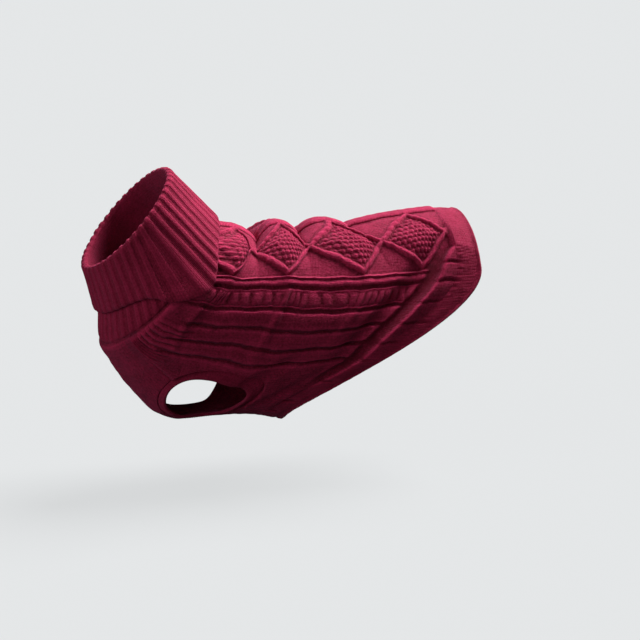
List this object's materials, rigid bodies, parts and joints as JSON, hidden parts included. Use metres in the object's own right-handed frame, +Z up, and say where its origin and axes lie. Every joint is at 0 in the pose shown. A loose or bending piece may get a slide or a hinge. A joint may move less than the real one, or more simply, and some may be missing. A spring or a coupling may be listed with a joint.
{
  "type": "dog sweater",
  "caption": "Hand-knit wool sweater for a small long-bodied dog, in its worn form: turned-down ribbed collar, back with moss-stitch diamonds and cables, smooth chest, leg holes, ribbed hem",
  "frame": {"origin": "on the inside of the back at the withers, where the dog's back carries the sweater", "axes": "+Z up, the head end faces -X and the hem end +X, +Y is the dog's right side"},
  "size_m": [0.3882, 0.1554, 0.2554],
  "materials": {
    "magenta_wool": "matte cabled wool knit",
    "magenta_rib": "matte ribbed wool knit"
  },
  "bodies": {
    "root": {"back_panel": "magenta_wool", "chest_panel": "magenta_wool", "collar": "magenta_rib", "hem_rib": "magenta_rib", "leg_band_left": "magenta_rib", "leg_band_right": "magenta_rib"}
  },
  "joints": []
}
